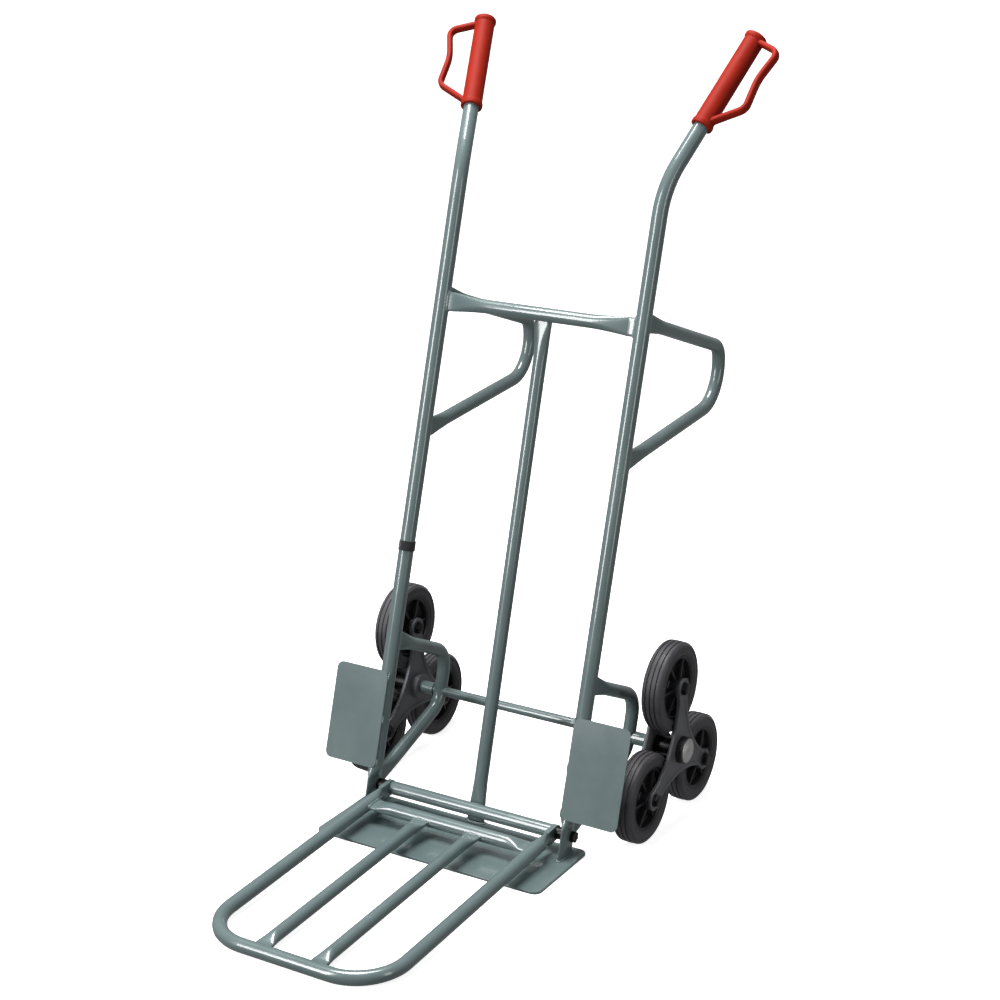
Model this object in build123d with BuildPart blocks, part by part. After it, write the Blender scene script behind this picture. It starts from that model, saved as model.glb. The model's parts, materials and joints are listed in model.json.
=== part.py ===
from build123d import *
import os
from math import asin, cos, radians, sin

# Stair-climbing hand truck with a folding load shovel.  Millimetres and degrees.
# +X is the truck's right hand seen from the load side, -Y points to the load,
# +Y to the stair wheels, +Z is up.  The origin is on the floor, under the toe
# plate, midway between the uprights, where their axes meet the floor.

# ---- back frame ----
LEAN = 15.4            # the uprights lean back from the vertical
GAUGE = 360            # between the uprights' axes
UPRIGHT_D = 25         # upright tube
BRACE_D = 22           # cross bars, centre tube, loops and shovel tubes
WALL = 1.8             # tube wall
BEND_H = 1050          # along the uprights, floor to the handle bend
BEND_R = 180           # handle bend radius
HANDLE_TURN = 27.4     # turn of the handle bend
HANDLE_YAW = 61.2      # direction of the bend, from +X towards the back
HANDLE_RUN = 282       # bend corner to the end of the tube
BAR_H = 834            # upper cross bar, along the uprights
LOOP_CORNERS = ((0, 10), (298, -7), (318, -59), (290, -107), (0, -211))
                       # side loop corners: behind the uprights, above the cross bar
FLAT_WIDE = 34         # width of a pinched tube end
FLAT_THICK = 9         # thickness of a pinched tube end
COPE_GAP = 0.02        # weld gap left where one tube is coped to another

# ---- toe plate, guards and centre tube ----
PLATE_W = 408
PLATE_T = 4
PLATE_FRONT = -121
PLATE_REAR = 42
PLATE_R = 14
CENTRE_FOOT_Y = 37     # where the centre tube stands on the plate
CENTRE_BACK = 22       # the centre tube passes behind the cross bar
GUARD_W = 98
GUARD_H = 161
GUARD_T = 2
GUARD_LOW = 66
GUARD_OVERLAP = 8      # how far a guard laps the front of its upright
GUARD_R = 11

# ---- folding shovel ----
PIVOT_BACK = 13        # pivot behind the uprights' axes
PIVOT_H = 37           # pivot along the uprights
PIVOT_D = 10
SHOVEL_W = 308         # between the side tubes' axes
SHOVEL_REACH = 507     # pivot to the front bar's axis
SHOVEL_R = 78          # corner bend radius
SHOVEL_CROSS = 64      # pivot to the shovel's cross tube
SLAT_GAUGE = 96
SLAT_D = 20
SLAT_FLAT = 26
SLAT_INSET = 1         # a slat's pressed end stops short of the tube's axis
LUG_T = 8
LUG_R = 12

# ---- stair wheel clusters ----
WHEEL_R = 73.5
WHEEL_W = 35
WHEEL_X = 250.5        # wheel mid-plane
ARM = 105              # axle to wheel bolt
HUB_BACK = 177.7       # axle behind the uprights' axes
AXLE_LOOP_CORNERS = ((0, 99), (HUB_BACK, 69), (HUB_BACK, -22), (0, -142))
                       # axle loop corners: behind the uprights, above the axle
AXLE_D = 16
SPIDER_T = 6
SPIDER_GAP = 2         # wheel side face to spider
SPIDER_BOSS_D = 42
SPIDER_BOSS_OUT = 9
ARM_END_R = 17
RIM_R = 52
RIM_W = 30
HUB_D = 34
SLEEVE_D = 15          # sleeve that a wheel turns on
BOLT_D = 10
HEX_ACROSS = 17
HEAD_T = 6.4
NUT_T = 8
THREAD_OUT = 1         # bolt end beyond its nut
RUN_GAP = 0.05         # radial clearance of a running fit
SIDE_GAP = 0.5         # axial clearance between turning faces

# ---- grips and strap ----
GRIP_D = 33
GRIP_LENGTH = 174
GRIP_END = 5           # closed end beyond the tube
GRIP_TURN = 11         # finger guard turned forwards from straight out
COLLAR_D = 36
COLLAR_H = 9
COLLAR_EDGE = 2.5      # rounding of the collars' end edges
GUARD_BAR = (9, 14)    # finger guard bar, across and along the hand
GUARD_BAR_R = 4
GUARD_CORNERS = ((0, 165), (58, 151), (50, 98), (60, 45), (0, 9))
GUARD_BENDS = [14, 90, 14]
                       # finger guard corners: out from the grip's axis, above its lower end
STRAP_H = 434
STRAP_W = 16
STRAP_T = 2.2
STRAP_TAIL = 30        # straight end of the band, across the front of the tube

# ---- worked out from the above ----
BACK = Plane(origin=(0, 0, 0), x_dir=(1, 0, 0),
             z_dir=(0, sin(radians(LEAN)), cos(radians(LEAN))))
SIDE_X = GAUGE / 2


def at(x, back, along):
    """Point given across, behind the uprights' axes and along the uprights."""
    return BACK.from_local_coords(Vector(x, back, along))


ALONG = BACK.z_dir
REAR = BACK.y_dir
ACROSS = Vector(1, 0, 0)
PIVOT = at(0, PIVOT_BACK, PIVOT_H)
HUB_Z = WHEEL_R + ARM / 2
HUB_ALONG = (HUB_Z + HUB_BACK * sin(radians(LEAN))) / cos(radians(LEAN))
HUB = at(0, HUB_BACK, HUB_ALONG)
DROOP = asin((PIVOT.Z - BRACE_D / 2) / SHOVEL_REACH)
SHOVEL = Plane(origin=PIVOT, x_dir=(1, 0, 0), z_dir=(0, -sin(DROOP), cos(DROOP)))
SHOVEL_X = SHOVEL_W / 2
HANDLE_DIR = Vector(sin(radians(HANDLE_TURN)) * cos(radians(HANDLE_YAW)),
                    sin(radians(HANDLE_TURN)) * sin(radians(HANDLE_YAW)),
                    cos(radians(HANDLE_TURN)))


def on_handle(run):
    """Point on the right handle's axis, a given run past the bend corner."""
    spot = Vector(SIDE_X, 0, BEND_H) + HANDLE_DIR * run
    return at(spot.X, spot.Y, spot.Z)


def on_shovel(x, reach):
    """Point in the shovel's plane, a given reach in front of the pivot."""
    return SHOVEL.from_local_coords(Vector(x, -reach, 0))


def tube(points, radii, diameter, wall=WALL):
    """Round tube along straight runs joined by tangent bends."""
    with BuildPart() as piece:
        with BuildLine() as path:
            if radii:
                FilletPolyline(*points, radius=radii)
            else:
                Line(*points)
        with BuildSketch(Plane(origin=path.line @ 0, z_dir=path.line % 0)):
            Circle(diameter / 2)
            Circle(diameter / 2 - wall, mode=Mode.SUBTRACT)
        sweep(path=path.line)
    return piece.part


def pinched_end(start, end, wide_way, diameter, wide, thick, shift=Vector()):
    """Tube end pressed from round at start to a flat oval at end."""
    run = end - start
    with BuildPart() as piece:
        with BuildSketch(Plane(origin=start, x_dir=wide_way, z_dir=run)):
            Circle(diameter / 2)
        with BuildSketch(Plane(origin=end + shift, x_dir=wide_way, z_dir=run)):
            Ellipse(wide / 2, thick / 2)
        loft()
    return piece.part


def rod(start, end, diameter):
    """Solid round bar between two points."""
    with BuildPart() as piece:
        with BuildSketch(Plane(origin=start, z_dir=end - start)):
            Circle(diameter / 2)
        extrude(amount=(end - start).length)
    return piece.part


def ring(start, end, outer, inner):
    """Round bush or washer between two points."""
    with BuildPart() as piece:
        with BuildSketch(Plane(origin=start, z_dir=end - start)):
            Circle(outer / 2)
            Circle(inner / 2, mode=Mode.SUBTRACT)
        extrude(amount=(end - start).length)
    return piece.part


def hex_head(start, end, across, bore=0):
    """Hexagon head or nut between two points, with its outer corners eased."""
    with BuildPart() as piece:
        with BuildSketch(Plane(origin=start, z_dir=end - start)):
            RegularPolygon(across / 2, 6, major_radius=False)
            if bore:
                Circle(bore / 2, mode=Mode.SUBTRACT)
        extrude(amount=(end - start).length)
    return piece.part


def keep(piece, name):
    """Label a finished piece and write it."""
    piece.label = name
    export_step(piece, f"parts/{name}.step")


def keep_pair(piece, name):
    """Write a right-hand piece and its left-hand mirror image."""
    keep(piece, f"{name}_right")
    with BuildPart() as twin:
        add(piece)
        mirror(about=Plane.YZ, mode=Mode.REPLACE)
    keep(twin.part, f"{name}_left")


def keep_twins(piece, name):
    """Write a right-hand piece and its mirror image together as one node."""
    with BuildPart() as both:
        add(piece)
        mirror(about=Plane.YZ)
    keep(both.part, name)


os.makedirs("parts", exist_ok=True)

# ---- uprights: bent at the handles, crushed flat at the feet ----
FOOT_ROUND_H = 66
FOOT_FLAT_H = 49
FOOT_SHIFT = REAR * 5  # the flat foot sits this far behind the tube's axis
FOOT_WIDE = 44
FOOT_WELD_IN = 3       # how far the axle loop's foot reaches into the flat foot's edge
foot_round = at(SIDE_X, 0, FOOT_ROUND_H)
foot_flat = at(SIDE_X, 0, FOOT_FLAT_H)
upright_tube = tube([foot_round, at(SIDE_X, 0, BEND_H), on_handle(HANDLE_RUN)],
                    [BEND_R], UPRIGHT_D)
foot_neck = pinched_end(foot_round, foot_flat, REAR, UPRIGHT_D, FOOT_WIDE,
                        FLAT_THICK, FOOT_SHIFT)
pivot_hole = rod(PIVOT, PIVOT + ACROSS * GAUGE, PIVOT_D)
with BuildPart() as upright:
    add(upright_tube)
    add(foot_neck)
    with BuildSketch(Plane(origin=foot_flat + FOOT_SHIFT, x_dir=REAR, z_dir=-ALONG)):
        Ellipse(FOOT_WIDE / 2, FLAT_THICK / 2)
    extrude(amount=FOOT_FLAT_H + FOOT_WIDE)
    split(bisect_by=Plane.XY.offset(PLATE_T), keep=Keep.TOP)
    add(pivot_hole, mode=Mode.SUBTRACT)
keep_pair(upright.part, "upright")

# ---- upper cross bar: pinched ends coped to the uprights ----
upright_core = rod(at(SIDE_X, 0, 0), at(SIDE_X, 0, BEND_H), UPRIGHT_D + COPE_GAP)
PINCH_RUN = 75
bar_round = SIDE_X - UPRIGHT_D / 2 - PINCH_RUN
bar_end = pinched_end(at(bar_round, 0, BAR_H), at(SIDE_X, 0, BAR_H), ALONG,
                      BRACE_D, FLAT_WIDE, FLAT_THICK)
bar_tube = tube([at(-bar_round, 0, BAR_H), at(bar_round, 0, BAR_H)], None, BRACE_D)
with BuildPart() as half_bar_end:
    add(bar_end)
    add(upright_core, mode=Mode.SUBTRACT)
    split(bisect_by=Plane.YZ.offset(SIDE_X), keep=Keep.BOTTOM)
with BuildPart() as upper_cross_bar:
    add(half_bar_end.part)
    mirror(about=Plane.YZ)
    add(bar_tube)
keep(upper_cross_bar.part, "upper_cross_bar")

# ---- centre tube: from behind the cross bar down to the rear edge of the toe plate ----
CENTRE_PINCH = 75
centre_foot = Vector(0, CENTRE_FOOT_Y, PLATE_T)
centre_top = at(0, CENTRE_BACK, BAR_H)
lap_shift = -REAR * (CENTRE_BACK - BRACE_D / 2 - FLAT_THICK / 2)
centre_way = (centre_top - centre_foot).normalized()
bar_core = rod(at(-SIDE_X, 0, BAR_H), at(SIDE_X, 0, BAR_H), BRACE_D + COPE_GAP)
centre_low = centre_foot + centre_way * CENTRE_PINCH
centre_high = centre_top - centre_way * CENTRE_PINCH
centre_shaft = tube([centre_low, centre_high], None, BRACE_D)
centre_cap = pinched_end(centre_high, centre_top, ACROSS, BRACE_D, FLAT_WIDE,
                         FLAT_THICK, lap_shift)
centre_base = pinched_end(centre_low, centre_foot - centre_way * FLAT_THICK, ACROSS,
                          BRACE_D, FLAT_WIDE, FLAT_THICK)
with BuildPart() as centre_tube:
    add(centre_shaft)
    add(centre_cap)
    add(centre_base)
    add(bar_core, mode=Mode.SUBTRACT)
    split(bisect_by=Plane.XY.offset(PLATE_T), keep=Keep.TOP)
keep(centre_tube.part, "centre_tube")

# ---- toe plate ----
with BuildPart() as toe_plate:
    with BuildSketch():
        with Locations((0, (PLATE_FRONT + PLATE_REAR) / 2)):
            RectangleRounded(PLATE_W, PLATE_REAR - PLATE_FRONT, PLATE_R)
    extrude(amount=PLATE_T)
    top_edges = toe_plate.edges().group_by(Axis.Z)[-1]
    chamfer(top_edges, PLATE_T / 4)
keep(toe_plate.part, "toe_plate")

# ---- wheel guards: sheets welded to the fronts of the uprights ----
guard_mid = at(SIDE_X - GUARD_OVERLAP + GUARD_W / 2, -UPRIGHT_D / 2 - COPE_GAP,
               GUARD_LOW + GUARD_H / 2)
with BuildPart() as wheel_guard:
    with BuildSketch(Plane(origin=guard_mid, x_dir=ACROSS, z_dir=-REAR)):
        RectangleRounded(GUARD_W, GUARD_H, GUARD_R)
    extrude(amount=GUARD_T)
keep_pair(wheel_guard.part, "wheel_guard")

# ---- side loops: tubes bent behind the uprights ----
LOOP_PINCH = 62
LOOP_BENDS = [30, 70, 60]
loop_top, loop_high, loop_far, loop_low, loop_foot = [
    at(SIDE_X, back, BAR_H + rise) for back, rise in LOOP_CORNERS]
top_way = (loop_high - loop_top).normalized()
foot_way = (loop_low - loop_foot).normalized()
loop_top_round = loop_top + top_way * LOOP_PINCH
loop_foot_round = loop_foot + foot_way * LOOP_PINCH
side_tube = tube([loop_top_round, loop_high, loop_far, loop_low, loop_foot_round],
                 LOOP_BENDS, BRACE_D)
side_top_end = pinched_end(loop_top_round, loop_top, ALONG, BRACE_D, FLAT_WIDE, FLAT_THICK)
side_foot_end = pinched_end(loop_foot_round, loop_foot, ALONG, BRACE_D, FLAT_WIDE, FLAT_THICK)
front_half = Plane(origin=at(0, 0, 0), x_dir=ACROSS, z_dir=REAR)
with BuildPart() as side_loop:
    add(side_tube)
    add(side_top_end)
    add(side_foot_end)
    add(upright_core, mode=Mode.SUBTRACT)
    split(bisect_by=front_half, keep=Keep.TOP)
keep_pair(side_loop.part, "side_loop")

# ---- axle loops: the brackets that carry the axle ----
AXLE_LOOP_BEND = 40
axle_loop_top, axle_loop_high, axle_loop_low, axle_loop_foot = [
    at(SIDE_X, back, HUB_ALONG + rise) for back, rise in AXLE_LOOP_CORNERS]
brace_top_way = (axle_loop_high - axle_loop_top).normalized()
brace_foot_way = (axle_loop_low - axle_loop_foot).normalized()
BRACE_PINCH = 50
brace_top_round = axle_loop_top + brace_top_way * BRACE_PINCH
brace_foot_round = axle_loop_foot + brace_foot_way * BRACE_PINCH
axle_loop_tube = tube([brace_top_round, axle_loop_high, axle_loop_low, brace_foot_round],
                      [AXLE_LOOP_BEND, AXLE_LOOP_BEND], BRACE_D)
axle_loop_top_end = pinched_end(brace_top_round, axle_loop_top, ALONG, BRACE_D,
                                FLAT_WIDE, FLAT_THICK)
axle_loop_foot_end = pinched_end(brace_foot_round, axle_loop_foot, ALONG, BRACE_D,
                                 FLAT_WIDE, FLAT_THICK)
axle_end = WHEEL_X + WHEEL_W / 2 + SPIDER_GAP + SPIDER_T + SPIDER_BOSS_OUT + SIDE_GAP
axle_half = rod(HUB, HUB + ACROSS * axle_end, AXLE_D)
foot_rear = Plane(origin=at(SIDE_X, FOOT_WIDE / 2, 0) + FOOT_SHIFT - REAR * FOOT_WELD_IN,
                  x_dir=ACROSS, z_dir=REAR)
with BuildPart() as axle_loop_foot_weld:
    add(axle_loop_foot_end)
    split(bisect_by=foot_rear, keep=Keep.TOP)
    add(upright.part, mode=Mode.SUBTRACT)
with BuildPart() as axle_loop_top_weld:
    add(axle_loop_top_end)
    add(upright_core, mode=Mode.SUBTRACT)
    split(bisect_by=front_half, keep=Keep.TOP)
with BuildPart() as axle_loop:
    add(axle_loop_tube)
    add(axle_loop_top_weld.part)
    add(axle_loop_foot_weld.part)
    add(axle_half, mode=Mode.SUBTRACT)
keep_pair(axle_loop.part, "axle_loop")

# ---- axle, its spacers and its push-on end caps ----
CAP_D = 40
CAP_OUT = 6
CAP_RIM = 1.2
keep(rod(HUB - ACROSS * axle_end, HUB + ACROSS * axle_end, AXLE_D), "axle")
inner_face = WHEEL_X - WHEEL_W / 2 - SPIDER_GAP - SPIDER_T - SPIDER_BOSS_OUT
axle_spacer = ring(HUB + ACROSS * (SIDE_X + BRACE_D / 2), HUB + ACROSS * (inner_face - SIDE_GAP),
                   BRACE_D, AXLE_D)
keep_twins(axle_spacer, "axle_spacers")
with BuildPart() as axle_cap:
    with BuildSketch(Plane(origin=HUB + ACROSS * axle_end, z_dir=ACROSS)):
        Circle(CAP_D / 2)
    extrude(amount=CAP_OUT)
    fillet(axle_cap.edges().sort_by(Axis.X)[-1], CAP_OUT - CAP_RIM)
keep_twins(axle_cap.part, "axle_caps")

# ---- lower cross tube, coaxial with the shovel's pivot ----
PLUG_LENGTH = 25
PLUG_INSET = 1
cross_end = SHOVEL_X - LUG_T / 2 - SIDE_GAP
keep(tube([PIVOT - ACROSS * cross_end, PIVOT + ACROSS * cross_end], None, BRACE_D),
     "lower_cross_tube")
plug_face = cross_end - PLUG_INSET
cross_plug = ring(PIVOT + ACROSS * (plug_face - PLUG_LENGTH), PIVOT + ACROSS * plug_face,
                  BRACE_D - 2 * WALL, PIVOT_D)
keep_twins(cross_plug, "cross_tube_plugs")

# ---- pivot bolts and spacers ----
foot_inner = SIDE_X - FLAT_THICK / 2
foot_outer = SIDE_X + FLAT_THICK / 2
lug_outer = SHOVEL_X + LUG_T / 2
pivot_spacer = ring(PIVOT + ACROSS * (lug_outer + SIDE_GAP), PIVOT + ACROSS * foot_inner,
                    2 * PIVOT_D, PIVOT_D)
keep_twins(pivot_spacer, "pivot_spacers")
pivot_shank = rod(PIVOT + ACROSS * (plug_face - PLUG_LENGTH), PIVOT + ACROSS * foot_outer,
                  PIVOT_D)
pivot_head = hex_head(PIVOT + ACROSS * foot_outer, PIVOT + ACROSS * (foot_outer + HEAD_T),
                      HEX_ACROSS)
with BuildPart() as pivot_bolt:
    add(pivot_shank)
    add(pivot_head)
keep_twins(pivot_bolt.part, "pivot_bolts")

# ---- shovel: bent outer loop with pivot lugs ----
LUG_REACH = 28
LUG_ROUND = 50
loop_start = on_shovel(SHOVEL_X, LUG_ROUND)
shovel_tube = tube([loop_start, on_shovel(SHOVEL_X, SHOVEL_REACH),
                    on_shovel(-SHOVEL_X, SHOVEL_REACH), on_shovel(-SHOVEL_X, LUG_ROUND)],
                   [SHOVEL_R, SHOVEL_R], BRACE_D)
lug_neck = pinched_end(loop_start, on_shovel(SHOVEL_X, LUG_REACH), SHOVEL.z_dir,
                       BRACE_D, 2 * LUG_R, LUG_T)
with BuildPart() as shovel_lug:
    lug_plane = Plane(origin=on_shovel(SHOVEL_X, 0), x_dir=-SHOVEL.y_dir, z_dir=ACROSS)
    with BuildSketch(lug_plane):
        Circle(LUG_R)
        with Locations((LUG_REACH / 2, 0)):
            Rectangle(LUG_REACH, 2 * LUG_R)
        Circle(PIVOT_D / 2 + RUN_GAP, mode=Mode.SUBTRACT)
    extrude(amount=LUG_T / 2, both=True)
with BuildPart() as shovel_loop:
    add(shovel_lug.part)
    add(lug_neck)
    mirror(about=Plane.YZ)
    add(shovel_tube)
keep(shovel_loop.part, "shovel_loop")

# ---- shovel cross tube and slats ----
CROSS_PINCH = 30
side_core = rod(on_shovel(SHOVEL_X, 0), on_shovel(SHOVEL_X, SHOVEL_REACH), BRACE_D + COPE_GAP)
cross_round = SHOVEL_X - BRACE_D / 2 - CROSS_PINCH
cross_tube_end = pinched_end(on_shovel(cross_round, SHOVEL_CROSS),
                             on_shovel(SHOVEL_X, SHOVEL_CROSS), SHOVEL.y_dir,
                             BRACE_D, SLAT_FLAT, FLAT_THICK)
cross_tube_mid = tube([on_shovel(-cross_round, SHOVEL_CROSS),
                       on_shovel(cross_round, SHOVEL_CROSS)], None, BRACE_D)
with BuildPart() as cross_tube_side:
    add(cross_tube_end)
    add(side_core, mode=Mode.SUBTRACT)
    split(bisect_by=Plane.YZ.offset(SHOVEL_X), keep=Keep.BOTTOM)
with BuildPart() as shovel_cross_tube:
    add(cross_tube_side.part)
    mirror(about=Plane.YZ)
    add(cross_tube_mid)
keep(shovel_cross_tube.part, "shovel_cross_tube")

SLAT_PINCH = 24
slat_x = SLAT_GAUGE / 2
cross_core = rod(on_shovel(0, SHOVEL_CROSS), on_shovel(SHOVEL_W, SHOVEL_CROSS),
                 BRACE_D + COPE_GAP)
front_core = rod(on_shovel(0, SHOVEL_REACH), on_shovel(SHOVEL_W, SHOVEL_REACH),
                 BRACE_D + COPE_GAP)
slat_near = SHOVEL_CROSS + BRACE_D / 2 + SLAT_PINCH
slat_away = SHOVEL_REACH - BRACE_D / 2 - SLAT_PINCH
slat_tube = tube([on_shovel(slat_x, slat_near), on_shovel(slat_x, slat_away)], None, SLAT_D)
slat_near_end = pinched_end(on_shovel(slat_x, slat_near), on_shovel(slat_x, SHOVEL_CROSS + SLAT_INSET),
                            ACROSS, SLAT_D, SLAT_FLAT, FLAT_THICK)
slat_away_end = pinched_end(on_shovel(slat_x, slat_away), on_shovel(slat_x, SHOVEL_REACH - SLAT_INSET),
                            ACROSS, SLAT_D, SLAT_FLAT, FLAT_THICK)
with BuildPart() as shovel_slat:
    add(slat_tube)
    add(slat_near_end)
    add(slat_away_end)
    add(cross_core, mode=Mode.SUBTRACT)
    add(front_core, mode=Mode.SUBTRACT)
keep_pair(shovel_slat.part, "shovel_slat")

# ---- grips: moulded sleeves with a finger guard on the outer side ----
grip_top = on_handle(HANDLE_RUN + GRIP_END)
grip_low = on_handle(HANDLE_RUN + GRIP_END - GRIP_LENGTH)
grip_way = (grip_top - grip_low).normalized()
straight_out = (ACROSS - grip_way * grip_way.dot(ACROSS)).normalized()
grip_out = straight_out.rotate(Axis((0, 0, 0), grip_way), -GRIP_TURN)
GRIP = Plane(origin=grip_low, x_dir=grip_out, z_dir=grip_way)
GRIP_SIDE = Plane(origin=grip_low, x_dir=grip_out, z_dir=-GRIP.y_dir)
with BuildPart() as grip:
    with BuildSketch(GRIP):
        Circle(GRIP_D / 2)
    extrude(amount=GRIP_LENGTH)
    with BuildSketch(GRIP):
        Circle(COLLAR_D / 2)
    extrude(amount=COLLAR_H)
    with BuildSketch(GRIP.offset(GRIP_LENGTH - COLLAR_H)):
        Circle(COLLAR_D / 2)
    extrude(amount=COLLAR_H)
    end_rims = grip.edges().filter_by(GeomType.CIRCLE).sort_by(Axis(grip_low, grip_way))
    fillet([end_rims[0], end_rims[-1]], COLLAR_EDGE)
    with BuildLine(GRIP_SIDE) as guard_path:
        FilletPolyline(*GUARD_CORNERS, radius=GUARD_BENDS)
    with BuildSketch(Plane(origin=guard_path.line @ 0, x_dir=GRIP.y_dir,
                           z_dir=guard_path.line % 0)):
        RectangleRounded(GUARD_BAR[1], GUARD_BAR[0], GUARD_BAR_R)
    sweep(path=guard_path.line)
    with BuildSketch(GRIP):
        Circle(UPRIGHT_D / 2 + COPE_GAP / 2)
    extrude(amount=GRIP_LENGTH - GRIP_END, mode=Mode.SUBTRACT)
keep_pair(grip.part, "grip")

# ---- fold strap: hook-and-loop band parked round the left upright ----
with BuildPart() as fold_strap:
    with BuildSketch(Plane(origin=at(-SIDE_X, 0, STRAP_H), x_dir=ACROSS, z_dir=ALONG)):
        Circle(UPRIGHT_D / 2 + STRAP_T)
        with Locations((-STRAP_TAIL / 4, -UPRIGHT_D / 2 - STRAP_T / 2)):
            Rectangle(STRAP_TAIL, STRAP_T)
        Circle(UPRIGHT_D / 2 + COPE_GAP / 2, mode=Mode.SUBTRACT)
    extrude(amount=STRAP_W / 2, both=True)
keep(fold_strap.part, "fold_strap")

# ---- stair wheel clusters ----
SPIDER_RECESS = 1.6
SPIDER_LIP = 5
SPIDER_WAIST = 40
ARM_NECK = 92
NECK_ANGLE = 8.5
RECESS_NECK = 86
RECESS_ANGLE = 5.5
ARM_ANGLES = (90, 210, 330)
ARM_STEP = 360 / len(ARM_ANGLES)
plate_in = WHEEL_X - WHEEL_W / 2 - SPIDER_GAP
plate_out = WHEEL_X + WHEEL_W / 2 + SPIDER_GAP


def arm_point(x, angle):
    """Wheel centre on an arm of the cluster, at x across."""
    turn = radians(angle)
    return Vector(x, HUB.Y + ARM * cos(turn), HUB.Z + ARM * sin(turn))


def polar(radius, angle):
    """Point in a cluster's own plane, radius and angle from the hub."""
    return (radius * cos(radians(angle)), radius * sin(radians(angle)))


def spider(face_x, way):
    """Three-armed plate with a raised lip and a centre boss, built outwards along way."""
    base = Plane(origin=(face_x, HUB.Y, HUB.Z), x_dir=(0, way, 0), z_dir=(way, 0, 0))
    with BuildPart() as piece:
        with BuildSketch(base) as outline:
            with BuildLine():
                for angle in ARM_ANGLES:
                    ThreePointArc(polar(ARM_NECK, angle + NECK_ANGLE),
                                  polar(SPIDER_WAIST, angle + ARM_STEP / 2),
                                  polar(ARM_NECK, angle + ARM_STEP - NECK_ANGLE))
                    Line(polar(ARM_NECK, angle - NECK_ANGLE), polar(ARM_NECK, angle + NECK_ANGLE))
            make_face()
            with PolarLocations(ARM, len(ARM_ANGLES), ARM_ANGLES[0]):
                Circle(ARM_END_R)
        extrude(amount=SPIDER_T)
        with BuildSketch(base.offset(SPIDER_T)):
            with BuildLine():
                for angle in ARM_ANGLES:
                    ThreePointArc(polar(RECESS_NECK, angle + RECESS_ANGLE),
                                  polar(SPIDER_WAIST - SPIDER_LIP, angle + ARM_STEP / 2),
                                  polar(RECESS_NECK, angle + ARM_STEP - RECESS_ANGLE))
                    Line(polar(RECESS_NECK, angle - RECESS_ANGLE),
                         polar(RECESS_NECK, angle + RECESS_ANGLE))
            make_face()
        extrude(amount=-SPIDER_RECESS, mode=Mode.SUBTRACT)
        with BuildSketch(base):
            Circle(SPIDER_BOSS_D / 2)
        extrude(amount=SPIDER_T + SPIDER_BOSS_OUT)
        with BuildSketch(base):
            Circle(AXLE_D / 2 + RUN_GAP)
            with PolarLocations(ARM, len(ARM_ANGLES), ARM_ANGLES[0]):
                Circle(BOLT_D / 2)
        extrude(amount=SPIDER_T + SPIDER_BOSS_OUT, mode=Mode.SUBTRACT)
    return piece.part


keep_pair(spider(plate_out, 1), "spider_outer")
keep_pair(spider(plate_in, -1), "spider_inner")
hub_sleeve = ring(HUB + ACROSS * plate_in, HUB + ACROSS * plate_out, 2 * SLEEVE_D,
                  AXLE_D + 2 * RUN_GAP)
keep_pair(hub_sleeve, "hub_sleeve")

with BuildPart() as wheel_sleeves:
    for angle in ARM_ANGLES:
        add(ring(arm_point(plate_in, angle), arm_point(plate_out, angle), SLEEVE_D, BOLT_D))
keep_pair(wheel_sleeves.part, "wheel_sleeves")

bolt_seat = plate_out + SPIDER_T
nut_seat = plate_in - SPIDER_T
with BuildPart() as wheel_bolts:
    for angle in ARM_ANGLES:
        add(rod(arm_point(nut_seat - NUT_T - THREAD_OUT, angle), arm_point(bolt_seat, angle), BOLT_D))
        add(hex_head(arm_point(bolt_seat, angle), arm_point(bolt_seat + HEAD_T, angle),
                     HEX_ACROSS))
keep_pair(wheel_bolts.part, "wheel_bolts")
with BuildPart() as wheel_nuts:
    for angle in ARM_ANGLES:
        add(hex_head(arm_point(nut_seat - NUT_T, angle), arm_point(nut_seat, angle),
                     HEX_ACROSS, BOLT_D))
keep_pair(wheel_nuts.part, "wheel_nuts")

# ---- wheels: solid rubber tyre on a moulded rim ----
RIB_COUNT = 6
RIB_T = 5
RIB_INSET = 2          # ribs stop short of the rim's edges
WEB_T = 5
RING_T = 6
SHOULDER_R = 8
GROOVE_W = 2
GROOVE_DEEP = 2
GROOVE_PITCH = 8
RIM_CLEAR = 0.5
WHEEL = Plane(origin=(0, 0, 0), x_dir=(0, 1, 0), z_dir=(1, 0, 0))
with BuildPart() as rim:
    with BuildSketch(WHEEL):
        Circle(RIM_R)
        Circle(RIM_R - RING_T, mode=Mode.SUBTRACT)
    extrude(amount=RIM_W / 2, both=True)
    with BuildSketch(WHEEL):
        Circle(RIM_R - RING_T / 2)
    extrude(amount=WEB_T / 2, both=True)
    with BuildSketch(WHEEL):
        Circle(HUB_D / 2)
    extrude(amount=WHEEL_W / 2 + SPIDER_GAP - RIM_CLEAR, both=True)
    with BuildSketch(WHEEL):
        with PolarLocations(RIM_R / 2, RIB_COUNT):
            Rectangle(RIM_R - RING_T, RIB_T)
    extrude(amount=RIM_W / 2 - RIB_INSET, both=True)
    with BuildSketch(WHEEL):
        Circle(SLEEVE_D / 2 + RUN_GAP)
    extrude(amount=WHEEL_W, both=True, mode=Mode.SUBTRACT)
with BuildPart() as tyre:
    with BuildSketch(Plane.XY) as section:
        with Locations((0, (WHEEL_R + RIM_R) / 2)):
            Rectangle(WHEEL_W, WHEEL_R - RIM_R)
        fillet(section.vertices().group_by(Axis.Y)[-1], SHOULDER_R)
        with Locations((-GROOVE_PITCH, WHEEL_R), (0, WHEEL_R), (GROOVE_PITCH, WHEEL_R)):
            Rectangle(GROOVE_W, 2 * GROOVE_DEEP, mode=Mode.SUBTRACT)
    revolve(axis=Axis.X)
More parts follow.
